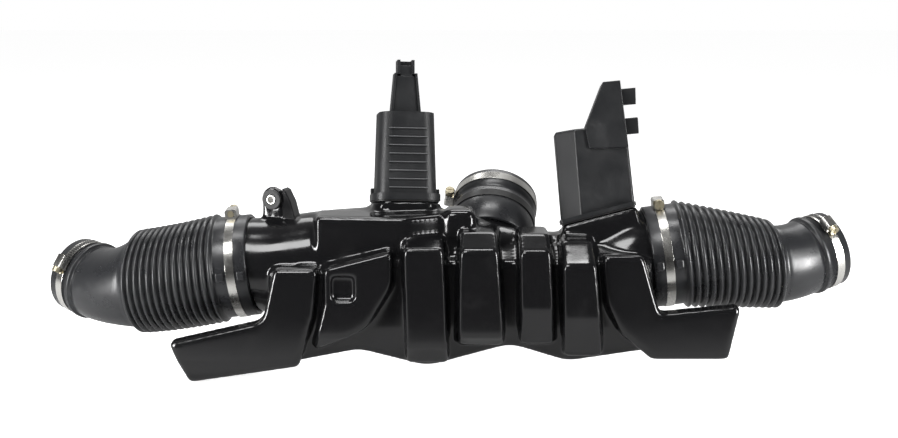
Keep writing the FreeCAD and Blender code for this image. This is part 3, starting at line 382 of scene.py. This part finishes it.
# Distance from the duct's centre and radius
GROOVE = (
    (0.0665, THROTTLE_CUFF_R), (0.0685, 0.0440), (0.0715, 0.0434), (0.0745, 0.0440),
    (0.0765, THROTTLE_CUFF_R),
)
SLEEVE = (
    (THROTTLE_START, THROTTLE_SPIGOT_R),
    (THROTTLE_START, THROTTLE_LIP_R),
    (THROTTLE_START + THROTTLE_ROLL, THROTTLE_CUFF_R),
    *GROOVE,
    (THROTTLE_REACH - THROTTLE_MOUTH_ROLL, THROTTLE_CUFF_R),
    (THROTTLE_REACH, THROTTLE_LIP_R),
    (THROTTLE_REACH, THROTTLE_BORE_R),
    (THROTTLE_STEP, THROTTLE_BORE_R),
    (THROTTLE_STEP, THROTTLE_SPIGOT_R),
)
sleeve = ring_tube([(duct_centre + throttle_out * along, throttle_out, radius) for along, radius in SLEEVE])
add_piece("throttle_sleeve_rubber", sleeve, hose_rubber, "hose_rubber", "throttle_hose")


# Mount grommet, its sleeve and the chamber seals
# A soft rubber grommet pressed in the duct's tab, a plain steel sleeve for the
# bracket bolt inside it, and flat rubber seals under the two tuning chambers.

FLAT_ANGLE = math.radians(1.0)
SHARP_ANGLE = math.radians(28.0)
CREASE_ANGLE = math.radians(38.0)


def softened(node, width):
    """A CAD node's surface with its flat faces joined and its sharp edges broken."""
    shape = merged_copy(node)
    bmesh.ops.dissolve_limit(
        shape, angle_limit=FLAT_ANGLE, verts=shape.verts, edges=shape.edges, use_dissolve_boundaries=False,
    )
    edges = [edge for edge in shape.edges if edge.is_manifold and edge.calc_face_angle(0.0) > SHARP_ANGLE]
    bmesh.ops.bevel(
        shape, geom=edges, offset=width, offset_type="OFFSET", segments=2, profile=0.5, affect="EDGES",
        material=-1, clamp_overlap=True,
    )
    for face in shape.faces:
        face.smooth = True
    for edge in shape.edges:
        edge.smooth = edge.calc_face_angle(0.0) < CREASE_ANGLE
    return shape


soft_rubber = finish_of(
    "soft_rubber", (0.010, 0.010, 0.010), (0.02, 0.02, 0.02), metallic=0.0,
    values={"Wave Scale": 80.0, "Grain Scale": 1800.0, "Wave": 0.3, "Rough Low": 0.45, "Rough High": 0.6},
    bump=0.2, bump_depth=0.0003,
)
steel_sleeve = finish_of(
    "steel_sleeve", (0.62, 0.61, 0.58), (0.40, 0.38, 0.34), metallic=1.0,
    values={"Wave Scale": 120.0, "Grain Scale": 2200.0, "Wave": 0.3, "Rough Low": 0.22, "Rough High": 0.4},
    bump=0.1, bump_depth=0.0002,
)
# Node, ending of the piece's name, broken edge, finish and slot
SMALL_PIECES = (
    ("mount_grommet", "_rubber", 0.0009, soft_rubber, "soft_rubber"),
    ("grommet_sleeve", "_steel", 0.0004, steel_sleeve, "steel_sleeve"),
    ("left_chamber_seal", "_rubber", 0.0003, soft_rubber, "soft_rubber"),
    ("right_chamber_seal", "_rubber", 0.0003, soft_rubber, "soft_rubber"),
)
for node, ending, broken, finish, slot in SMALL_PIECES:
    even_shading(add_piece(node + ending, softened(node, broken), finish, slot, node))


# Tuning chambers
# Two matte injection-moulded caps that stand on the duct's seats: the left one
# has raised ribs and a forked locating post, the right one a tower with clips.

matte_black = finish_of(
    "matte_black_plastic", (0.0085, 0.009, 0.010), (0.016, 0.0165, 0.0175), metallic=0.0,
    values={"Wave Scale": 90.0, "Grain Scale": 1500.0, "Wave": 0.25, "Rough Low": 0.34, "Rough High": 0.5},
    bump=0.22, bump_depth=0.0004,
)
CHAMBER_BROKEN = 0.0007
for node in ("left_tuning_chamber", "right_tuning_chamber"):
    moulding = softened(node, CHAMBER_BROKEN)
    even_shading(add_piece(node + "_moulding", moulding, matte_black, "matte_black_plastic", node))


def plate(place, corners, front, back):
    """Flat moulded plate: an outline in a stand's own XZ plane, given depth and broken edges."""
    shape = bmesh.new()
    face = shape.faces.new([shape.verts.new((across, front, up)) for across, up in corners])
    grown = bmesh.ops.extrude_face_region(shape, geom=[face])["geom"]
    moved = [item for item in grown if isinstance(item, bmesh.types.BMVert)]
    bmesh.ops.translate(shape, verts=moved, vec=(0.0, back - front, 0.0))
    bmesh.ops.bevel(
        shape, geom=shape.edges[:], offset=PLATE_BROKEN, offset_type="OFFSET", segments=2, profile=0.5,
        affect="EDGES", material=-1,
    )
    bmesh.ops.transform(shape, matrix=place, verts=shape.verts)
    bmesh.ops.recalc_face_normals(shape, faces=shape.faces)
    return shape


LEFT_SEAT = Vector((-0.086, 0.005, 0.062))
LEFT_LEAN = math.radians(-14.0)
LEFT_TURN = math.radians(10.0)
RIGHT_SEAT = Vector((0.116, 0.002, 0.048))
RIGHT_TILT = math.radians(-5.5)
RIGHT_LEAN = math.radians(-12.0)
TAB_SEAT = Vector((-0.222, -0.004, 0.068))
TAB_TURN = math.radians(-20.0)
PLATE_BROKEN = 0.0006
left_stand = (
    Matrix.Translation(duct_centre + LEFT_SEAT)
    @ Matrix.Rotation(LEFT_LEAN, 4, "X") @ Matrix.Rotation(LEFT_TURN, 4, "Z")
)
right_stand = (
    Matrix.Translation(duct_centre + RIGHT_SEAT)
    @ Matrix.Rotation(RIGHT_TILT, 4, "Y") @ Matrix.Rotation(RIGHT_LEAN, 4, "X")
)
tab_stand = Matrix.Translation(duct_centre + TAB_SEAT) @ Matrix.Rotation(TAB_TURN, 4, "Z")
# Name, stand, corners across and up, front and back
PLATES = (
    (
        "bracket_tab_cheek", tab_stand,
        ((0.0108, -0.026), (0.027, -0.026), (0.0205, -0.002), (0.0145, 0.0095), (0.0108, 0.0115)),
        -0.003, 0.011,
    ),
    (
        "left_post_web", left_stand,
        ((-0.0135, 0.092), (0.0135, 0.092), (0.0095, 0.1335), (-0.0095, 0.1335)),
        -0.0052, 0.002,
    ),
    (
        "left_fork_web", left_stand,
        ((-0.0064, 0.133), (0.0064, 0.133), (0.0064, 0.1445), (-0.0064, 0.1445)),
        -0.0045, 0.002,
    ),
    (
        "right_tower_face", right_stand,
        ((-0.004, 0.070), (0.0365, 0.068), (0.0345, 0.1375), (0.0165, 0.1375), (-0.006, 0.093)),
        -0.0259, -0.004,
    ),
    (
        "right_upper_clip_pad", right_stand,
        ((0.032, 0.109), (0.038, 0.114), (0.051, 0.1155), (0.052, 0.131), (0.033, 0.131)),
        -0.002, 0.0045,
    ),
    (
        "right_lower_clip_pad", right_stand,
        ((0.032, 0.080), (0.038, 0.083), (0.051, 0.0835), (0.0515, 0.0995), (0.033, 0.0995)),
        -0.002, 0.0045,
    ),
)
# Painted highlight: a light grey finish for thin bars on the left chamber's rib crests, standing in for the
# light caught by the ribs' top edges
painted_highlight_grey = finish_of(
    "painted_highlight_grey_plastic", (0.085, 0.086, 0.089), (0.13, 0.13, 0.133), metallic=0.0,
    values={"Wave Scale": 90.0, "Grain Scale": 1500.0, "Wave": 0.25, "Rough Low": 0.4, "Rough High": 0.55},
    bump=0.15, bump_depth=0.0003,
)
# Light grey bars along the rib crests: painted highlight, not a rubbed or worn finish
CRESTS = 8
CREST_PITCH = 0.0088
CREST_FIRST = 0.0146
CREST_FRONT = -0.0243
CREST_SIZE = Vector((0.0402, 0.0006, 0.0009))
CREST_BROKEN = 0.0002
crests = bmesh.new()
for number in range(CRESTS):
    bmesh.ops.create_cube(crests, size=1.0, matrix=(
        left_stand @ Matrix.Translation((0.0, CREST_FRONT, CREST_FIRST + number * CREST_PITCH))
        @ Matrix.Diagonal((*CREST_SIZE, 1.0))
    ))
bmesh.ops.bevel(
    crests, geom=crests.edges[:], offset=CREST_BROKEN, offset_type="OFFSET", segments=2, profile=0.5,
    affect="EDGES", material=-1,
)
# The bars carry the painted highlight of the rib crests
add_piece("left_chamber_rib_painted_highlights", crests, painted_highlight_grey, "matte_black_plastic")
for name, stand, corners, front, back in PLATES:
    finish = matte_black
    slot = "matte_black_plastic"
    if stand is tab_stand:
        finish = gloss_black
        slot = "gloss_black_plastic"
    add_piece(name, plate(stand, corners, front, back), finish, slot)


# Worm clamps
# Each clamp is a rolled stainless strip with punched worm slots, a pressed
# housing that the strip's free end runs through, and a plated slotted screw.

strip_steel = finish_of(
    "stainless_strip", (0.66, 0.65, 0.62), (0.42, 0.41, 0.38), metallic=1.0,
    values={"Wave Scale": 140.0, "Grain Scale": 2400.0, "Wave": 0.35, "Rough Low": 0.2, "Rough High": 0.36},
    bump=0.12, bump_depth=0.0002,
)
zinc_screw = finish_of(
    "zinc_screw", (0.64, 0.58, 0.42), (0.36, 0.31, 0.2), metallic=1.0,
    values={"Wave Scale": 160.0, "Grain Scale": 2600.0, "Wave": 0.3, "Rough Low": 0.25, "Rough High": 0.42},
    bump=0.12, bump_depth=0.0002,
)
punched_dark = finish_of(
    "punched_slot", (0.02, 0.02, 0.02), (0.05, 0.05, 0.05), metallic=0.0,
    values={"Wave Scale": 140.0, "Grain Scale": 2400.0, "Wave": 0.3, "Rough Low": 0.5, "Rough High": 0.6},
    bump=0.1, bump_depth=0.0002,
)
BAND_WIDTH = 0.009
TAIL_THICKNESS = 0.0006
TAIL_TURN = math.radians(62.0)
TAIL_START = math.radians(9.0)
TAIL_STEPS = 20
SLOT_PITCH = math.radians(4.0)
SLOT_SIZE = Vector((0.0004, 0.0011, 0.0056))
SLOT_SLANT = math.radians(7.0)
SLOT_FIRST = 0.7
STRIP_BROKEN = 0.00025
SHELL_BROKEN = 0.0006
WORM_BROKEN = 0.0004
coated_strip = finish_of(
    "coated_strip", (0.012, 0.012, 0.012), (0.03, 0.03, 0.03), metallic=0.0,
    values={"Wave Scale": 140.0, "Grain Scale": 2400.0, "Wave": 0.3, "Rough Low": 0.3, "Rough High": 0.45},
    bump=0.1, bump_depth=0.0002,
)
# Clamp, finish of its strip, roll around its hose in degrees, head turned over, slots that show
CLAMPS = (
    ("left_inlet_clamp", strip_steel, -18.0, True, 15),
    ("left_duct_clamp", strip_steel, 24.0, False, 0),
    ("throttle_clamp", strip_steel, 168.0, False, 6),
    ("spigot_clamp", coated_strip, 0.0, False, 0),
    ("right_duct_clamp", strip_steel, -22.0, False, 0),
    ("right_inlet_clamp", strip_steel, -20.0, False, 9),
)


def points_of(node):
    """A CAD node's corners, each counted once."""
    vertices = frame["nodes"][node].data.vertices
    return numpy.array(sorted({tuple(round(value, 6) for value in vert.co) for vert in vertices}))


for clamp, metal, roll, flipped, slots in CLAMPS:
    hoop = points_of(clamp + "_band")
    centre = (hoop.min(axis=0) + hoop.max(axis=0)) / 2
    axis = Vector(numpy.linalg.svd(hoop - centre)[2][2]).normalized()
    centre = Vector(centre)
    screw = points_of(clamp + "_screw")
    housing = points_of(clamp + "_housing")
    radial = Vector(housing.mean(axis=0)) - centre
    radial = (radial - axis * radial.dot(axis)).normalized()
    head_way = Vector(screw.mean(axis=0)) - Vector(housing.mean(axis=0))
    if axis.cross(radial).dot(head_way) < 0:
        axis = -axis
    place = Matrix.Translation(centre) @ Matrix((radial, axis.cross(radial), axis)).transposed().to_4x4()
    arms = [Vector(point) - centre for point in hoop]
    crown = max((arm - axis * arm.dot(axis)).length for arm in arms)
    seat = place @ Matrix.Rotation(math.radians(roll), 4, "Z")
    if flipped:
        seat = place @ Matrix.Rotation(math.pi, 4, "X") @ Matrix.Rotation(math.radians(roll), 4, "Z")
    turn = seat @ place.inverted()
    strip = softened(clamp + "_band", STRIP_BROKEN)
    shell = softened(clamp + "_housing", SHELL_BROKEN)
    worm = softened(clamp + "_screw", WORM_BROKEN)
    bmesh.ops.transform(shell, matrix=turn, verts=shell.verts)
    bmesh.ops.transform(worm, matrix=turn, verts=worm.verts)
    even_shading(add_piece(clamp + "_band_strip", strip, metal, "stainless_strip", clamp + "_band"))
    even_shading(add_piece(clamp + "_housing_shell", shell, metal, "stainless_strip", clamp + "_housing"))
    even_shading(add_piece(clamp + "_screw_plated", worm, zinc_screw, "zinc_screw", clamp + "_screw"))

    tail = bmesh.new()
    low = tail.verts.new((crown, 0.0, -BAND_WIDTH / 2))
    high = tail.verts.new((crown, 0.0, BAND_WIDTH / 2))
    edge = tail.edges.new((low, high))
    bmesh.ops.rotate(tail, verts=tail.verts, matrix=Matrix.Rotation(-TAIL_START, 3, "Z"))
    bmesh.ops.spin(
        tail, geom=[edge, low, high], axis=(0, 0, 1), cent=(0, 0, 0), angle=-TAIL_TURN, steps=TAIL_STEPS,
        use_merge=False,
    )
    bmesh.ops.recalc_face_normals(tail, faces=tail.faces)
    bmesh.ops.solidify(tail, geom=tail.faces[:], thickness=TAIL_THICKNESS)
    bmesh.ops.transform(tail, matrix=seat, verts=tail.verts)
    bmesh.ops.recalc_face_normals(tail, faces=tail.faces)
    add_piece(clamp + "_band_tail", tail, metal, "stainless_strip")

    if slots == 0:
        continue
    punched = bmesh.new()
    for number in range(slots):
        angle = -TAIL_START - (number + SLOT_FIRST) * SLOT_PITCH
        bmesh.ops.create_cube(punched, size=1.0, matrix=(
            seat @ Matrix.Rotation(angle, 4, "Z") @ Matrix.Translation((crown + TAIL_THICKNESS, 0.0, 0.0))
            @ Matrix.Rotation(SLOT_SLANT, 4, "X") @ Matrix.Diagonal((*SLOT_SIZE, 1.0))
        ))
    add_piece(clamp + "_band_slots", punched, punched_dark, "stainless_strip")


# Studio
# A white floor under lights above, behind and at the sides. In reflections only, the floor's colour is
# painted dark towards the camera (a painted reflection of a dark room) and the room's light is dim there,
# so the gloss shows its edges.

scene = bpy.context.scene
scene.view_settings.view_transform = "Standard"
FLOOR_DROP = 0.0005
FLOOR_REACH = 6.0
PAINTED_REFLECTION_DARK_Y = -0.46
PAINTED_REFLECTION_LIGHT_Y = -0.2
PAINTED_REFLECTION_DARK = 0.03
PAINTED_REFLECTION_LIGHT = 0.6
PAPER_WHITE = 0.8
PAPER_GLOW = 0.84
ROOM_DARK_Y = -0.1
ROOM_LIGHT_Y = 0.85
ROOM_DARK = 0.03
ROOM_LIGHT = 0.55
BACKDROP = 1.0
ground = bmesh.new()
bmesh.ops.create_grid(ground, x_segments=1, y_segments=1, size=FLOOR_REACH, matrix=Matrix.Translation(
    (0.0, 0.0, cad_box[0][2] - FLOOR_DROP)
))
floor_mesh = bpy.data.meshes.new("floor")
ground.to_mesh(floor_mesh)
ground.free()
floor = bpy.data.objects.new("floor", floor_mesh)
scene.collection.objects.link(floor)
paper = bpy.data.materials.new("white_paper")
paper.use_nodes = True
nodes = paper.node_tree.nodes
links = paper.node_tree.links
nodes.clear()
leave = nodes.new("ShaderNodeOutputMaterial")
sheet = nodes.new("ShaderNodeBsdfDiffuse")
place = nodes.new("ShaderNodeTexCoord")
split = nodes.new("ShaderNodeSeparateXYZ")
links.new(place.outputs["Object"], split.inputs["Vector"])
# Painted reflection: for glossy rays only, the floor's colour is painted dark near the camera and lighter
# further back, standing in for a dark room in front
reflected_shade = nodes.new("ShaderNodeMapRange")
reflected_shade.interpolation_type = "SMOOTHSTEP"
reflected_shade.inputs["From Min"].default_value = PAINTED_REFLECTION_DARK_Y
reflected_shade.inputs["From Max"].default_value = PAINTED_REFLECTION_LIGHT_Y
reflected_shade.inputs["To Min"].default_value = PAINTED_REFLECTION_DARK
reflected_shade.inputs["To Max"].default_value = PAINTED_REFLECTION_LIGHT
links.new(split.outputs["Y"], reflected_shade.inputs["Value"])
path = nodes.new("ShaderNodeLightPath")
shade = nodes.new("ShaderNodeMix")
links.new(path.outputs["Is Glossy Ray"], shade.inputs["Factor"])
shade.inputs["A"].default_value = PAPER_WHITE
links.new(reflected_shade.outputs["Result"], shade.inputs["B"])
links.new(shade.outputs["Result"], sheet.inputs["Color"])
glow = nodes.new("ShaderNodeEmission")
glow.inputs["Color"].default_value = (1.0, 1.0, 1.0, 1.0)
seen = nodes.new("ShaderNodeMath")
seen.operation = "MULTIPLY"
seen.inputs[1].default_value = PAPER_GLOW
links.new(path.outputs["Is Camera Ray"], seen.inputs[0])
links.new(seen.outputs["Value"], glow.inputs["Strength"])
both = nodes.new("ShaderNodeAddShader")
links.new(sheet.outputs["BSDF"], both.inputs[0])
links.new(glow.outputs["Emission"], both.inputs[1])
links.new(both.outputs["Shader"], leave.inputs["Surface"])
floor_mesh.materials.append(paper)

world = bpy.data.worlds.new("studio")
scene.world = world
world.use_nodes = True
nodes = world.node_tree.nodes
links = world.node_tree.links
nodes.clear()
leave = nodes.new("ShaderNodeOutputWorld")
room = nodes.new("ShaderNodeBackground")
room.inputs["Color"].default_value = (1.0, 1.0, 1.0, 1.0)
where = nodes.new("ShaderNodeTexCoord")
split = nodes.new("ShaderNodeSeparateXYZ")
links.new(where.outputs["Generated"], split.inputs["Vector"])
rear = nodes.new("ShaderNodeMapRange")
rear.interpolation_type = "SMOOTHSTEP"
rear.inputs["From Min"].default_value = ROOM_DARK_Y
rear.inputs["From Max"].default_value = ROOM_LIGHT_Y
rear.inputs["To Min"].default_value = ROOM_DARK
rear.inputs["To Max"].default_value = ROOM_LIGHT
links.new(split.outputs["Y"], rear.inputs["Value"])
path = nodes.new("ShaderNodeLightPath")
seen = nodes.new("ShaderNodeMix")
links.new(path.outputs["Is Camera Ray"], seen.inputs["Factor"])
links.new(rear.outputs["Result"], seen.inputs["A"])
seen.inputs["B"].default_value = BACKDROP
links.new(seen.outputs["Result"], room.inputs["Strength"])
links.new(room.outputs["Background"], leave.inputs["Surface"])


# Name, place, aim, width, height and power
SOFTBOXES = (
    ("key", (-0.55, -1.15, 1.3), (-0.1, -0.08, -0.05), 0.8, 0.5, 17.0),
    ("top", (-0.1, -0.25, 1.45), (-0.1, -0.12, -0.05), 0.8, 0.22, 9.0),
    ("overhead", (-0.05, 0.95, 1.35), (-0.05, -0.08, -0.05), 1.8, 0.5, 14.0),
    ("left_strip", (-1.35, -0.95, 0.35), (-0.1, -0.08, -0.05), 0.16, 1.0, 9.0),
    ("right_strip", (1.25, -0.95, 0.4), (0.0, -0.08, -0.05), 0.16, 1.0, 9.0),
    ("left_edge", (-0.88, -0.5, -0.01), (-0.05, -0.14, -0.06), 0.14, 0.3, 5.0),
    ("right_edge", (0.8, -0.5, -0.01), (0.05, -0.14, -0.06), 0.14, 0.3, 5.0),
)
for name, place, aim, width, height, power in SOFTBOXES:
    lamp = bpy.data.lights.new(name, "AREA")
    lamp.shape = "RECTANGLE"
    lamp.size = width
    lamp.size_y = height
    lamp.energy = power
    light = bpy.data.objects.new(name, lamp)
    scene.collection.objects.link(light)
    light.location = place
    light.rotation_euler = (Vector(aim) - Vector(place)).to_track_quat("-Z", "Y").to_euler()


# Camera
# Level with the photograph: square to the duct and a little above it.

CAMERA_DISTANCE = 1.7
CAMERA_RISE = math.radians(10.0)
SENSOR_WIDTH = 36.0
PHOTO_WIDTH = 898
FOCAL_PIXELS = 1619
VIEW_CENTRE = Vector((-0.0399, 0.0078, 0.0445))
camera_data = bpy.data.cameras.new("camera")
camera_data.sensor_width = SENSOR_WIDTH
camera_data.lens = SENSOR_WIDTH * FOCAL_PIXELS / PHOTO_WIDTH
camera = bpy.data.objects.new("camera", camera_data)
scene.collection.objects.link(camera)
aim = duct_centre + VIEW_CENTRE
camera.location = aim + Vector((0.0, -math.cos(CAMERA_RISE), math.sin(CAMERA_RISE))) * CAMERA_DISTANCE
camera.rotation_euler = (math.pi / 2 - CAMERA_RISE, 0.0, 0.0)
scene.camera = camera
